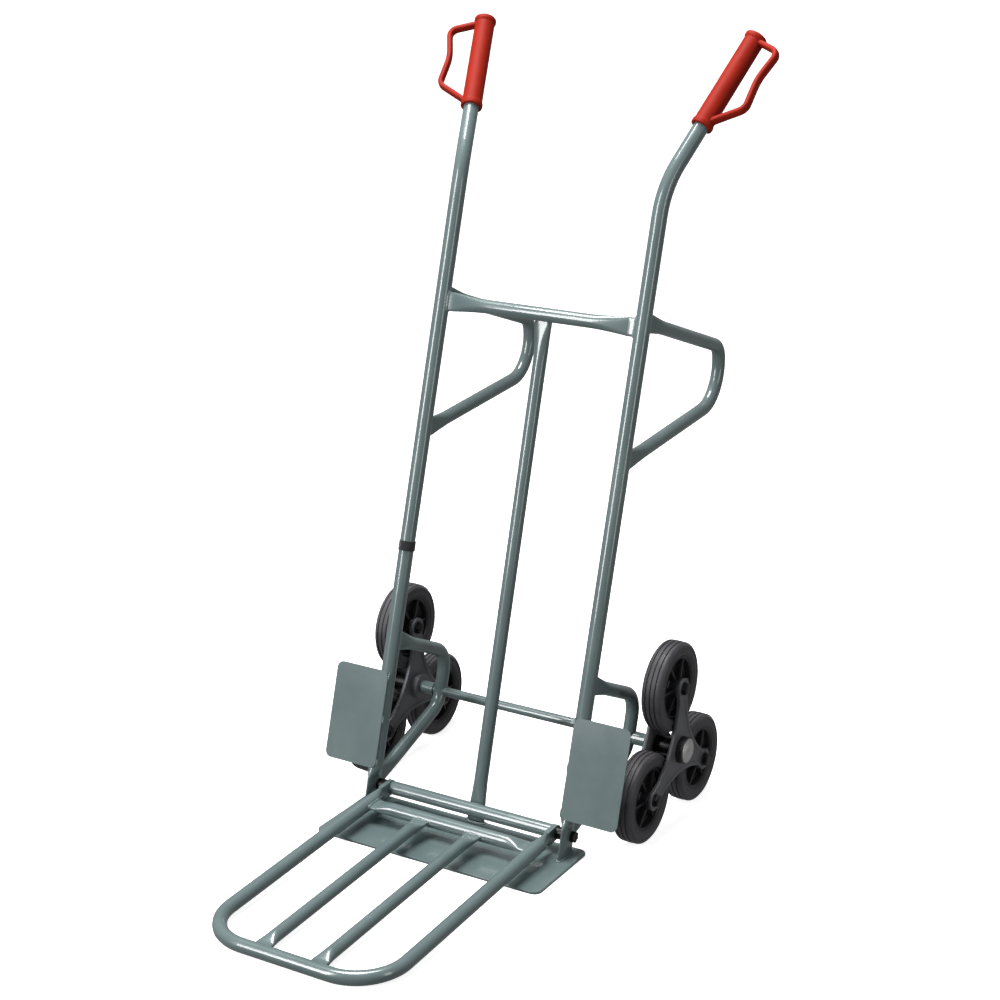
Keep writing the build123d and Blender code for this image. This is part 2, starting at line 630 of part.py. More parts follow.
for number, angle in enumerate(ARM_ANGLES, start=1):
    centre = arm_point(WHEEL_X, angle)
    for part, name in ((rim.part, "rim"), (tyre.part, "tyre")):
        with BuildPart() as placed:
            with Locations(centre):
                add(part)
        keep(placed.part, f"{name}_right_{number}")
        with BuildPart() as twin:
            add(placed.part)
            mirror(about=Plane.YZ, mode=Mode.REPLACE)
        keep(twin.part, f"{name}_left_{number}")
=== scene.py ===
# %% [markdown]
# # A stair-climbing hand truck
# The CAD model gives every tube, plate and wheel its place.  This file gives them
# their looks: paint, rubber, moulded plastic, zinc, weld beads and pressed tube ends.
# It can be read as a lesson: each text cell says what the next piece is on the real
# truck, how it could be made, and why this way was chosen.

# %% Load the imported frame
import json
import bpy
import numpy as np
from mathutils import Matrix, Vector


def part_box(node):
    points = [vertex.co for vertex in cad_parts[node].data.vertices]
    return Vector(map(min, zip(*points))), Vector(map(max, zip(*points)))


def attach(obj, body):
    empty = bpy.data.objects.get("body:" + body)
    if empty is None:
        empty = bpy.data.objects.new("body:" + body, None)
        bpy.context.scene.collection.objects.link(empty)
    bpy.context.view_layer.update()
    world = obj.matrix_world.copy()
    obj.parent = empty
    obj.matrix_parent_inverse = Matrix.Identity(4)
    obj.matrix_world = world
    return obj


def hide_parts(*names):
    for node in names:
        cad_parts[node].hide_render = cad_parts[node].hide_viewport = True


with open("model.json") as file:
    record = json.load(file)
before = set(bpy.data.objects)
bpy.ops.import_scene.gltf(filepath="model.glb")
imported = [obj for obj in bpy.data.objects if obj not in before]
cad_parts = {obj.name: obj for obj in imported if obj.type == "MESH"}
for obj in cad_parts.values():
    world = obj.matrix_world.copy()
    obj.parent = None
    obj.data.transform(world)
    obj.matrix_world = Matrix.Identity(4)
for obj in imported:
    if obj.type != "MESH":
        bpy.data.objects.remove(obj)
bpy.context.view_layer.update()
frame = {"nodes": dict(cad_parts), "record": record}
MM = 0.001

# %% [markdown]
# Blender shades with linear light, while a paint chart gives sRGB hex values.  Undoing
# the sRGB curve in one place keeps every colour below readable as the chart writes it.

# %% Colour and node helpers
def linear(hex_value):
    """sRGB hex to linear RGBA: bytes over 255, then the sRGB curve undone."""
    srgb = np.array([int(hex_value[k:k + 2], 16) for k in (1, 3, 5)]) / 255
    curve = np.where(srgb <= 0.04045, srgb / 12.92, ((srgb + 0.055) / 1.055) ** 2.4)
    return (*curve, 1.0)


def add_node(tree, kind, sockets=None, **settings):
    """Adds a node, sets its properties, then fills or links its input sockets."""
    made = tree.nodes.new(kind)
    for name, value in settings.items():
        setattr(made, name, value)
    for name, value in (sockets or {}).items():
        if isinstance(value, bpy.types.NodeSocket):
            tree.links.new(value, made.inputs[name])
        else:
            made.inputs[name].default_value = value
    return made


print("enamel's light tone in linear light", [round(v, 3) for v in linear("#657474")])

# %% [markdown]
# Most of these finishes are built the same way: two close colours mixed by a large soft
# cloud, a fine grain that lifts the surface, and a roughness that drifts a little.  One
# recipe makes that base, and each finish then adds what is its own.  The scales are in
# millimetres, turned into cycles per metre for Object coordinates.

# %% The base recipe
CLOUD_LOW, CLOUD_HIGH = 0.3, 0.7      # most of a noise's values lie between these


def base_finish(name, light, dark, cloud_mm, grain_mm, lift_mm, rough, **shader):
    """Material with clouded colour, drifting roughness and a raised fine grain.

    The cloud is noise with one cycle per cloud_mm, and mixes dark into light.  The
    grain is noise with one cycle per grain_mm, raised by lift_mm.  Roughness runs
    between the two values of rough with the cloud.
    """
    material = bpy.data.materials.new(name)
    material.use_nodes = True
    tree = material.node_tree
    surface = tree.nodes["Principled BSDF"]
    where = add_node(tree, "ShaderNodeTexCoord").outputs["Object"]
    cloud = add_node(tree, "ShaderNodeTexNoise", {
        "Vector": where, "Scale": 1 / (cloud_mm * MM), "Detail": 4.0, "Roughness": 0.6})
    grain = add_node(tree, "ShaderNodeTexNoise", {
        "Vector": where, "Scale": 1 / (grain_mm * MM), "Detail": 3.0})
    spread = add_node(tree, "ShaderNodeMapRange", {
        "Value": cloud.outputs["Fac"], "From Min": CLOUD_LOW, "From Max": CLOUD_HIGH})
    colour = add_node(tree, "ShaderNodeMix", {
        "Factor": spread.outputs["Result"], "A": linear(dark), "B": linear(light)},
        data_type="RGBA")
    shine = add_node(tree, "ShaderNodeMapRange", {
        "Value": cloud.outputs["Fac"], "From Min": CLOUD_LOW, "From Max": CLOUD_HIGH,
        "To Min": rough[0], "To Max": rough[1]})
    raised = add_node(tree, "ShaderNodeBump", {
        "Height": grain.outputs["Fac"], "Strength": 1.0, "Distance": lift_mm * MM})
    tree.links.new(colour.outputs["Result"], surface.inputs["Base Color"])
    tree.links.new(shine.outputs["Result"], surface.inputs["Roughness"])
    tree.links.new(raised.outputs["Normal"], surface.inputs["Normal"])
    for socket, value in shader.items():
        surface.inputs[socket.replace("_", " ")].default_value = value
    return material, tree, colour.outputs["Result"], raised


# %% [markdown]
# The tubes are stoved enamel: sprayed, then baked until it flows.  It flows nearly
# flat, so the eye sees long crisp highlights with a faint orange peel in them.  A hard
# resin skin over pigment is what the coat layer stands for.

# %% Stoved enamel
PEEL_MM = 2.2        # orange peel bumps
enamel, tree, _, _ = base_finish(
    "stoved_grey_green_enamel", "#657474", "#5c6b6c", cloud_mm=90, grain_mm=PEEL_MM,
    lift_mm=0.01, rough=(0.2, 0.28), Coat_Weight=0.6, Coat_Roughness=0.05, IOR=1.52)
print(enamel.name, len(tree.nodes), "nodes")

# %% [markdown]
# The grips are injection moulded soft PVC in signal red.  Moulded plastic picks up the
# eroded texture of its tool: a fine even stipple, half matt.  The specular level is set
# below the usual 0.5, so that the red stays deep under the strong lights.

# %% Moulded red plastic
grip_red, tree, _, _ = base_finish(
    "moulded_red_pvc", "#98200c", "#8a1a09", cloud_mm=35, grain_mm=0.7,
    lift_mm=0.03, rough=(0.52, 0.62), Specular_IOR_Level=0.15, IOR=1.5)
print(grip_red.name, len(tree.nodes), "nodes")

# %% [markdown]
# The tyres are solid rubber cured in a steel mould.  Carbon black makes them nearly
# black, handling leaves a grey bloom, and the surface stays dull with a soft sheen.

# %% Solid rubber
tyre_rubber, tree, _, _ = base_finish(
    "moulded_solid_rubber", "#48464b", "#353338", cloud_mm=22, grain_mm=0.9,
    lift_mm=0.05, rough=(0.5, 0.66), Sheen_Weight=0.08, Sheen_Roughness=0.5, IOR=1.52)
print(tyre_rubber.name, len(tree.nodes), "nodes")

# %% [markdown]
# The rims are black polyamide, the wheel makers' usual choice.  The spiders are sheet
# steel under a satin powder coat, which is thicker and grainier than enamel.  Bolts and
# nuts are black oxide: steel darkened in a hot bath and left oily.

# %% Black plastic, powder coat and black oxide
rim_black, _, _, _ = base_finish(
    "moulded_black_polyamide", "#1d1d1f", "#141416", cloud_mm=18, grain_mm=0.6,
    lift_mm=0.02, rough=(0.34, 0.46), IOR=1.53)
powder_black, _, _, _ = base_finish(
    "satin_powder_coated_steel", "#626368", "#56575c", cloud_mm=40, grain_mm=0.8,
    lift_mm=0.04, rough=(0.36, 0.46), IOR=1.5)
oxide_black, _, _, _ = base_finish(
    "black_oxide_steel", "#2b2a2c", "#1c1c1e", cloud_mm=6, grain_mm=0.5,
    lift_mm=0.02, rough=(0.26, 0.42), Metallic=0.7)
print(rim_black.name, powder_black.name, oxide_black.name)

# %% [markdown]
# Zinc plate is a thin bright coat of crystals.  Each patch of crystals tilts its own
# way, so the roughness is mottled in cells a few millimetres wide.

# %% Zinc plate
SPANGLE_MM = 5       # patches of crystals, drawn coarse enough to show
zinc, tree, _, raised = base_finish(
    "bright_zinc_plated_steel", "#e6e5e3", "#cfcecc", cloud_mm=9, grain_mm=0.5,
    lift_mm=0.015, rough=(0.38, 0.52), Metallic=1.0)
where = add_node(tree, "ShaderNodeTexCoord").outputs["Object"]
spangle = add_node(tree, "ShaderNodeTexVoronoi", {
    "Vector": where, "Scale": 1 / (SPANGLE_MM * MM)})
patches = add_node(tree, "ShaderNodeBump", {
    "Height": spangle.outputs["Distance"], "Strength": 0.5, "Distance": 0.0001,
    "Normal": raised.outputs["Normal"]})
tree.links.new(patches.outputs["Normal"], tree.nodes["Principled BSDF"].inputs["Normal"])
print(zinc.name, len(tree.nodes), "nodes")

# %% [markdown]
# The strap is hook-and-loop tape: black nylon with a pile of tiny loops.  The loops
# scatter light at grazing angles, which is what sheen is for, and the pile is drawn as
# small cells a little coarser than real so that they can be seen.

# %% Hook-and-loop tape
LOOP_MM = 0.9        # real loops are about 0.5 mm
webbing, tree, _, raised = base_finish(
    "woven_hook_and_loop_tape", "#2a2930", "#131217", cloud_mm=3, grain_mm=0.8,
    lift_mm=0.2, rough=(0.8, 0.95), Sheen_Weight=0.5, Sheen_Roughness=0.4)
where = add_node(tree, "ShaderNodeTexCoord").outputs["Object"]
loops = add_node(tree, "ShaderNodeTexVoronoi", {
    "Vector": where, "Scale": 1 / (LOOP_MM * MM)})
pile = add_node(tree, "ShaderNodeBump", {
    "Height": loops.outputs["Distance"], "Strength": 0.8, "Distance": 0.0004,
    "Normal": raised.outputs["Normal"]})
tree.links.new(pile.outputs["Normal"], tree.nodes["Principled BSDF"].inputs["Normal"])
print(webbing.name, len(tree.nodes), "nodes")

# %% [markdown]
# Every CAD piece is given the finish of its material slot, so nothing keeps the plain
# colour that it was packed with.

# %% Finishes on the CAD pieces
FINISH = {
    "frame_paint": enamel, "grip_red": grip_red, "tyre_rubber": tyre_rubber,
    "wheel_rim": rim_black, "spider_black": powder_black, "zinc_steel": zinc,
    "black_fasteners": oxide_black, "strap_webbing": webbing}
slot_of = {part["node"]: part["material_slot"] for part in frame["record"]["subparts"]}
for name, piece in frame["nodes"].items():
    piece.data.materials.clear()
    piece.data.materials.append(FINISH[slot_of[name]])
print(len(slot_of), "CAD pieces finished")

# %% [markdown]
# Each new shape below is a grid of points worked out with numpy.  Rows follow one
# parameter and columns the other, and each cell of the grid becomes one four-sided
# face.  The function also makes sure that faces look outwards: the signed volume of a
# closed skin is negative when it is inside out.

# %% From a grid of points to a piece
def unit(vectors):
    """Each vector over its own length."""
    vectors = np.asarray(vectors, float)
    return vectors / np.linalg.norm(vectors, axis=-1, keepdims=True)


def grid_faces(grid, ring):
    """Points and quads of a grid whose columns close; rows close too when ring is set.

    Without ring, the first and last rows are covered by a fan to their middle point.
    """
    rows, cols = grid.shape[:2]
    index = np.arange(rows * cols).reshape(rows, cols)
    wide = np.hstack([index, index[:, :1]])
    if ring:
        wide = np.vstack([wide, wide[:1]])
    quads = np.stack([wide[:-1, :-1], wide[:-1, 1:], wide[1:, 1:], wide[1:, :-1]], -1)
    points = grid.reshape(-1, 3)
    faces = quads.reshape(-1, 4).tolist()
    if not ring:
        first, last = len(points), len(points) + 1
        points = np.vstack([points, grid[0].mean(0), grid[-1].mean(0)])
        start = np.stack([np.full(cols, first), wide[0, 1:], wide[0, :-1]], -1)
        end = np.stack([np.full(cols, last), wide[-1, :-1], wide[-1, 1:]], -1)
        faces += start.tolist() + end.tolist()
    return points, faces


def signed_volume(points, faces):
    """Sum over fan triangles of a · (b × c) / 6."""
    total = 0.0
    for size in (3, 4):
        picked = np.array([f for f in faces if len(f) == size], int)
        if len(picked):
            corners = points[picked]
            for k in range(1, size - 1):
                cross = np.cross(corners[:, k], corners[:, k + 1])
                total += (corners[:, 0] * cross).sum() / 6
    return total


def make_piece(name, grids, finish, body, stands_for=(), crease=35):
    """One mesh object from one or more grids, riding on body.

    grids is a list of (points[row, column, 3] in metres, ring).  Edges sharper than
    crease degrees stay crisp; the rest are shaded smooth.
    """
    all_points, all_faces, offset = [], [], 0
    for grid, ring in grids:
        points, faces = grid_faces(grid, ring)
        if signed_volume(points, faces) < 0:
            faces = [face[::-1] for face in faces]
        all_faces += [[v + offset for v in face] for face in faces]
        all_points.append(points)
        offset += len(points)
    mesh = bpy.data.meshes.new(name)
    mesh.from_pydata(np.vstack(all_points), [], all_faces)
    mesh.polygons.foreach_set("use_smooth", np.ones(len(all_faces), bool))
    mesh.set_sharp_from_angle(angle=np.radians(crease))
    mesh.materials.append(finish)
    piece = bpy.data.objects.new(name, mesh)
    bpy.context.scene.collection.objects.link(piece)
    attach(piece, body)
    if stands_for:
        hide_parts(*stands_for)
    print(name, len(all_faces), "faces on", body)


# %% [markdown]
# Tubes and profiles share one idea: straight runs joined by arcs.  One function rounds
# the corners of such a line, in a plane or in space.

# %% Rounded corners
def rounded(corners, radii, steps=8, closed=False):
    """Straight runs joined by tangent arcs.

    At a corner the arc starts radius × cot(half the inside angle) away and turns about
    a point on the corner's bisector, in equal angles.  A radius of 0 keeps the corner.
    """
    corners = np.asarray(corners, float)
    count = len(corners)
    line = []
    for k in range(count):
        here = corners[k]
        if radii[k] == 0 or (not closed and k in (0, count - 1)):
            line.append(here[None])
            continue
        back = unit(corners[k - 1] - here)
        ahead = unit(corners[(k + 1) % count] - here)
        half = np.arccos(np.clip(back @ ahead, -1, 1)) / 2
        centre = here + unit(back + ahead) * radii[k] / np.sin(half)
        start = here + back * radii[k] / np.tan(half) - centre
        end = here + ahead * radii[k] / np.tan(half) - centre
        turn = np.pi - 2 * half
        t = np.linspace(0, 1, steps + 1)[:, None]
        arc = (np.sin((1 - t) * turn) * start + np.sin(t * turn) * end) / np.sin(turn)
        line.append(centre + arc)
    return np.vstack(line)


def turned(profile, centre, axis, steps=96):
    """A profile of (along, radius) turned about axis through centre.

    Point = centre + axis × along + radius × (cos a · u + sin a · v), a from 0 to 360°.
    """
    axis = unit(axis)
    u = unit(np.cross(axis, [0, 1, 0] if abs(axis[0]) > 0.9 else [1, 0, 0]))
    v = np.cross(axis, u)
    angle = np.linspace(0, 2 * np.pi, steps, endpoint=False)[None, :, None]
    along, radius = profile[:, 0][:, None, None], profile[:, 1][:, None, None]
    return np.asarray(centre) + axis * along + radius * (np.cos(angle) * u + np.sin(angle) * v)


def carried(path, section, up):
    """A section of (side, up) points carried along a path.

    up is one vector or one per path point; side is the path's own direction × up.
    """
    ahead = unit(np.gradient(path, axis=0))
    up = np.broadcast_to(np.asarray(up, float), path.shape)
    side = unit(np.cross(ahead, up))
    up = np.cross(side, ahead)
    section = np.broadcast_to(section, (len(path), *section.shape[-2:]))
    return path[:, None] + side[:, None] * section[..., :1] + up[:, None] * section[..., 1:]


def oval(half_wide, half_high, squareness=1.0, steps=32):
    """Closed section: (a · cos, b · sin) with each factor raised to squareness."""
    angle = np.linspace(0, 2 * np.pi, steps, endpoint=False)
    c, s = np.cos(angle), np.sin(angle)
    return np.stack([half_wide * np.sign(c) * np.abs(c) ** squareness,
                     half_high * np.sign(s) * np.abs(s) ** squareness], -1)


# %% [markdown]
# ## Places taken from the CAD model
# The truck's back leans, so most of its joints are easiest to give in a leaning frame:
# across, behind the uprights, and along them.  The wheel centres are read from the
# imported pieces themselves.

# %% The leaning frame and the wheel centres
LEAN = np.radians(15.4)
ACROSS = np.array([1.0, 0, 0])
REAR = np.array([0, np.cos(LEAN), -np.sin(LEAN)])
ALONG = np.array([0, np.sin(LEAN), np.cos(LEAN)])


def at(x, back, along):
    """Point across, behind the uprights' axes and along them, in millimetres."""
    return (x * ACROSS + back * REAR + along * ALONG) * MM


def middle(node):
    """Centre of a CAD node's box."""
    low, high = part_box(node)
    return np.array((low + high) / 2)


SIDES = {"right": 1, "left": -1}
SIDE_X = 180         # from the middle to an upright's axis
ARMS = (1, 2, 3)
wheel_at = {(side, arm): middle(f"tyre_{side}_{arm}") for side in SIDES for arm in ARMS}
hub_at = {side: np.mean([wheel_at[side, arm] for arm in ARMS], axis=0) for side in SIDES}
print("right hub", hub_at["right"].round(4))

# %% [markdown]
# ## Tyres
# A solid tyre is a ring with a worked section: a crowned tread with three grooves,
# rounded shoulders, and raised rings on the sidewalls where it grips the rim.  Turning
# a drawn half section about the axle gives all of it at once, as the steel mould does.

# %% The tyre section
TYRE_R, TYRE_HALF, BEAD_R = 73.5, 17.5, 52.0
GROOVES = (-8.0, 0.0, 8.0)
GROOVE_HALF, GROOVE_DEEP = 1.3, 2.0
# Each row is distance across, radius, and how far that corner is rounded.
half_section = [
    (14.6, BEAD_R, 0.4), (15.4, 54.6, 0.8), (16.9, 55.6, 0.8), (TYRE_HALF, 57.6, 0.9),
    (16.6, 59.4, 1.0), (16.3, 64.6, 1.5), (17.3, 66.4, 1.0), (16.9, 68.2, 1.0),
    (13.6, TYRE_R - 0.9, 4.5)]
tread = [(x + dx, TYRE_R - 0.004 * x * x - deep, 0.35)
         for x in GROOVES[::-1]
         for dx, deep in ((GROOVE_HALF + 0.3, 0), (GROOVE_HALF - 0.3, GROOVE_DEEP),
                          (0.3 - GROOVE_HALF, GROOVE_DEEP), (-GROOVE_HALF - 0.3, 0))]
mirrored = [(-x, r, bend) for x, r, bend in half_section[::-1]]
outline = np.array(half_section + tread + mirrored)
tyre_profile = rounded(outline[:, :2], outline[:, 2], steps=4, closed=True) * MM
print(len(tyre_profile), "points round the tyre section")

# %% Six tyres
for (side, arm), centre in wheel_at.items():
    make_piece(f"rubber_tyre_{side}_{arm}", [(turned(tyre_profile, centre, ACROSS, 128), True)],
               tyre_rubber, f"wheel_{side}_{arm}", [f"tyre_{side}_{arm}"])

# %% [markdown]
# ## Rims
# The rim is a moulded wheel: a rounded outer band, a thin web half way across, a hub
# and stiffening ribs.  Band, web and hub are one turned section; a rib is a flat bar
# carried outwards from the hub, narrower towards its edges as mould draft needs.

# %% The rim section and its ribs
rim_outline = np.array([
    (7.6, -18.9, 0), (17, -18.9, 1.2), (17, -3.5, 3), (44, -2.5, 3), (46.5, -13, 1.5),
    (49, -15.2, 1.2), (BEAD_R, -14.4, 0.8), (BEAD_R, 14.4, 0.8), (49, 15.2, 1.2),
    (46.5, 13, 1.5), (44, 2.5, 3), (17, 3.5, 3), (17, 18.9, 1.2), (7.6, 18.9, 0)])
rim_profile = rounded(rim_outline[:, [1, 0]], rim_outline[:, 2], steps=4, closed=True) * MM
RIB_COUNT = 6
RIB_FROM, RIB_TO, RIB_HALF_T = 15, 47, 2.5
RIB_HIGH, RIB_STEPS = (15, 11.5), 9      # half heights at the hub and at the rim


def rim_ribs(centre):
    """Radial bars: an oval section whose half height falls from hub to rim."""
    reach = np.linspace(RIB_FROM, RIB_TO, RIB_STEPS)
    high = np.interp(reach, [RIB_FROM, RIB_TO], RIB_HIGH)
    stretch = np.stack([np.ones(RIB_STEPS), high], -1)[:, None]
    grids = []
    for k in range(RIB_COUNT):
        angle = 2 * np.pi * k / RIB_COUNT
        way = np.array([0, np.cos(angle), np.sin(angle)])
        section = oval(RIB_HALF_T, 1.0, 0.4, 20)[None] * stretch
        grids.append((carried(centre + way * reach[:, None] * MM, section * MM, ACROSS), False))
    return grids


for (side, arm), centre in wheel_at.items():
    rim = [(turned(rim_profile, centre, ACROSS, 96), True)]
    make_piece(f"moulded_rim_{side}_{arm}", rim + rim_ribs(centre), rim_black,
               f"wheel_{side}_{arm}", [f"rim_{side}_{arm}"])

# %% [markdown]
# ## Spiders
# A spider is a pressed plate with three arms.  Its edge is turned up into a lip, so the
# face between the lips sits lower.  The outline is given as a radius for each angle,
# and the height of every point depends only on how far it is from that outline.

# %% The spider's outline and surface
ARM_ANGLES = np.radians([90, 210, 330])
ARM, ARM_END, WAIST, NECK, NECK_HALF = 105, 17, 40, 92, np.radians(8.5)
PLATE_T, RECESS, LIP, BOSS_R, BOSS_OUT, BORE_R = 6, 1.8, 6.5, 21, 9, 8.05


def outline_radius(angle):
    """Distance from hub to edge at each angle.

    Within the arm's end it is the far side of a circle of radius ARM_END about the
    bolt.  Elsewhere it is the near side of the circle through two necks and the waist.
    """
    off = np.abs((angle[:, None] - ARM_ANGLES + np.pi) % (2 * np.pi) - np.pi).min(1)
    end = ARM * np.cos(off) + np.sqrt(np.maximum(ARM_END ** 2 - (ARM * np.sin(off)) ** 2, 0))
    mid = np.pi / 3
    neck = NECK * np.array([np.cos(mid - NECK_HALF), np.sin(mid - NECK_HALF)])
    far = ((neck @ neck) - WAIST ** 2) / (2 * (neck[0] - WAIST))
    hollow = far - WAIST
    from_waist = mid - off
    waist = far * np.cos(from_waist) - np.sqrt(
        np.maximum(hollow ** 2 - (far * np.sin(from_waist)) ** 2, 0))
    return np.where(off < np.arcsin(ARM_END / ARM), end, waist)


def spider_grid(hub, face_x, way):
    """Closed skin of the plate: bore, boss, recessed face, lip, rounded edge and back."""
    angle = np.radians(np.arange(0, 360, 0.5) + 0.25)
    edge = outline_radius(angle)
    rim = np.stack([edge * np.cos(angle), edge * np.sin(angle)], -1)
    share = np.concatenate([np.linspace(0, 0.6, 12), np.linspace(0.62, 1, 26)])[:, None]
    reach = BOSS_R + (edge - 1.2 - BOSS_R) * share
    spot = np.stack([reach * np.cos(angle), reach * np.sin(angle)], -1)
    gap = np.stack([np.sqrt(((row[:, None] - rim[None]) ** 2).sum(-1)).min(1) for row in spot])
    level = np.clip((gap - LIP + 2) / 3, 0, 1)
    high = PLATE_T - RECESS * level * level * (3 - 2 * level)
    ring = np.ones_like(angle)
    radii = [BORE_R * ring, BORE_R * ring, (BOSS_R - 1) * ring, BOSS_R * ring, *reach,
             edge - 0.35, edge, edge, edge - 1, BORE_R * ring + 1]
    highs = [0 * ring, (PLATE_T + BOSS_OUT) * ring, (PLATE_T + BOSS_OUT) * ring,
             (PLATE_T + BOSS_OUT - 1) * ring, *high,
             (PLATE_T - 0.35) * ring, (PLATE_T - 1.2) * ring, 1 * ring, 0 * ring, 0 * ring]
    radii, highs = np.array(radii), np.array(highs)
    return np.stack([face_x + way * highs * MM,
                     hub[1] + radii * np.cos(angle) * MM,
                     hub[2] + radii * np.sin(angle) * MM], -1)


WHEEL_HALF, SPIDER_GAP = 17.5, 2
for side, hub in hub_at.items():
    for place, way in (("outer", SIDES[side]), ("inner", -SIDES[side])):
        face_x = hub[0] + way * (WHEEL_HALF + SPIDER_GAP) * MM
        make_piece(f"pressed_spider_{place}_{side}", [(spider_grid(hub, face_x, way), True)],
                   powder_black, f"cluster_{side}",
                   [f"spider_{place}_{side}"], crease=50)

# %% [markdown]
# ## Bolts, nuts and axle caps
# A bolt head is a hexagon with a turned chamfer: the radius of each point follows the
# hexagon, and its height drops as a cone where it lies outside the chamfer circle.

# %% Hexagon heads
HEX_FLAT, HEAD_HIGH, WASHER_R, WASHER_T = 8.5, 6.4, 10.5, 1.5
CHAMFER_IN, CHAMFER_SLOPE, CHAMFER_MIDDLE = 0.95, 0.577, 0.29


def hex_radius(angle):
    """Half the width across flats over the cosine of the angle from the nearest flat."""
    off = (angle + np.pi / 6) % (np.pi / 3) - np.pi / 6
    return HEX_FLAT / np.cos(off)


def hexagon(centre, way, high, bore=0.0, shank=0.0, turn=0.0, washer=True):
    """Head or nut with its washer, built outwards along way from centre.

    Rows run from the washer's back, over its edge, up the flats and the chamfer.
    """
    angle = np.linspace(0, 2 * np.pi, 96, endpoint=False)
    flat = hex_radius(angle)
    ring = np.ones_like(angle)
    inner = HEX_FLAT * CHAMFER_IN
    top = bore if bore else 0.6
    rows = [(top * ring, 0 * ring)]
    if washer:
        rows += [(WASHER_R * ring, 0 * ring), (WASHER_R * ring, (WASHER_T - 0.3) * ring),
                 ((WASHER_R - 0.3) * ring, WASHER_T * ring)]
    base = WASHER_T if washer else 0
    rows += [(flat, base * ring), (flat, high - (flat - inner) * CHAMFER_SLOPE),
             ((flat + inner) / 2, high - (flat - inner) * CHAMFER_MIDDLE),
             (inner * ring, high * ring)]
    if shank:
        rows += [(shank * ring, high * ring), (shank * ring, (high + 0.6) * ring),
                 ((shank - 1) * ring, (high + 1.6) * ring)]
    rows += [(top * ring, rows[-1][1])]
    radii = np.array([r for r, _ in rows])
    highs = np.array([h for _, h in rows])
    return np.stack([centre[0] + way * highs * MM,
                     centre[1] + radii * np.cos(angle + turn) * MM,
                     centre[2] + radii * np.sin(angle + turn) * MM], -1)


SHANK_R = 5
turns = {1: 0.35, 2: 1.1, 3: 0.8}
for side, sign in SIDES.items():
    seat = (WHEEL_HALF + SPIDER_GAP + PLATE_T - RECESS * 0.2) * MM
    heads, nuts = [], []
    for arm in ARMS:
        centre = wheel_at[side, arm]
        outer, inner = centre + sign * seat * ACROSS, centre - sign * seat * ACROSS
        heads.append((hexagon(outer, sign, HEAD_HIGH, turn=turns[arm]), False))
        nuts.append((hexagon(inner, -sign, HEAD_HIGH, shank=SHANK_R, turn=turns[arm]), False))
    make_piece(f"hex_bolts_{side}", heads, oxide_black, f"cluster_{side}",
               [f"wheel_bolts_{side}"])
    make_piece(f"hex_nuts_{side}", nuts, oxide_black, f"cluster_{side}",
               [f"wheel_nuts_{side}"])

# %% [markdown]
# The axle ends in a push-on cap, pressed from thin zinc-plated sheet: a rolled rim, a
# low dome and a flat dimple where the punch held it.

# %% Axle caps
CAP_R, CAP_DEEP = 20, 6
cap_outline = np.array([(0, 0.5, 0), (0, CAP_R - 0.6, 0.4), (1.1, CAP_R, 0.8),
                        (2.0, CAP_R - 1.3, 0.8), (2.2, CAP_R - 2.4, 0.8), (4.9, 13, 6),
                        (5.6, 5.5, 1.5), (5.1, 4.6, 1.0), (5.0, 0.5, 0)])
cap_profile = rounded(cap_outline[:, :2], cap_outline[:, 2], steps=5) * MM
cap_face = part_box("axle_caps")[1][0] - CAP_DEEP * MM
caps = [(turned(cap_profile, np.array([sign * cap_face, *hub_at[side][1:]]),
                sign * ACROSS, 72), False) for side, sign in SIDES.items()]
make_piece("zinc_axle_caps", caps, zinc, "frame", ["axle_caps"])

# %% [markdown]
# A thin black turned ring stands round the side of each outer boss, so a dark ring shows there.
# The dark ring round each outer boss is taken to be a black nylon bush.  The CAD model has no
# piece for it.

# %% Dark rings round the hubs
DARK_RING_T, DARK_RING_SHORT = 0.9, 0.4
dark_ring_low, dark_ring_high = PLATE_T - RECESS, PLATE_T + BOSS_OUT - DARK_RING_SHORT
dark_ring_outline = np.array([(dark_ring_low, BOSS_R - 1, 0), (dark_ring_low, BOSS_R + DARK_RING_T, 0),
                         (dark_ring_high, BOSS_R + DARK_RING_T, 0.5), (dark_ring_high, BOSS_R - 1, 0)])
dark_ring_profile = rounded(dark_ring_outline[:, :2], dark_ring_outline[:, 2], steps=4, closed=True) * MM
# Each ring is plain black and only darkens the spider round the outer boss.
for side, hub in hub_at.items():
    dark_ring_at = hub + SIDES[side] * (WHEEL_HALF + SPIDER_GAP) * MM * ACROSS
    make_piece(f"hub_dark_ring_{side}", [(turned(dark_ring_profile, dark_ring_at, SIDES[side] * ACROSS, 72),
                                     True)], rim_black, f"cluster_{side}")

# %% [markdown]
# ## Grips
# Each grip is a moulded sleeve with a collar at both ends and a flat guard bar round
# the fingers.  The sleeve is a turned profile that starts at the blind end of its bore
# and finishes on the domed top.  The bar is a rounded strip carried along a bent line.

# %% The grip's own axes
TURN, YAW, HANDLE_RUN, BEND_H = np.radians(27.4), np.radians(61.2), 282, 1050
GRIP_LENGTH, GRIP_END, GRIP_R, COLLAR_R, COLLAR_H, TUBE_R = 174, 5, 16.5, 18, 9, 12.5
GUARD_TURN = np.radians(11)      # the guard bar is turned a little to the front
lean_way = np.array([np.sin(TURN) * np.cos(YAW), np.sin(TURN) * np.sin(YAW), np.cos(TURN)])
grip_way = lean_way[0] * ACROSS + lean_way[1] * REAR + lean_way[2] * ALONG
grip_low = at(SIDE_X, 0, BEND_H) + grip_way * (HANDLE_RUN + GRIP_END - GRIP_LENGTH) * MM
straight_out = unit(ACROSS - grip_way * (grip_way @ ACROSS))
grip_out = (np.cos(GUARD_TURN) * straight_out
            - np.sin(GUARD_TURN) * np.cross(grip_way, straight_out))
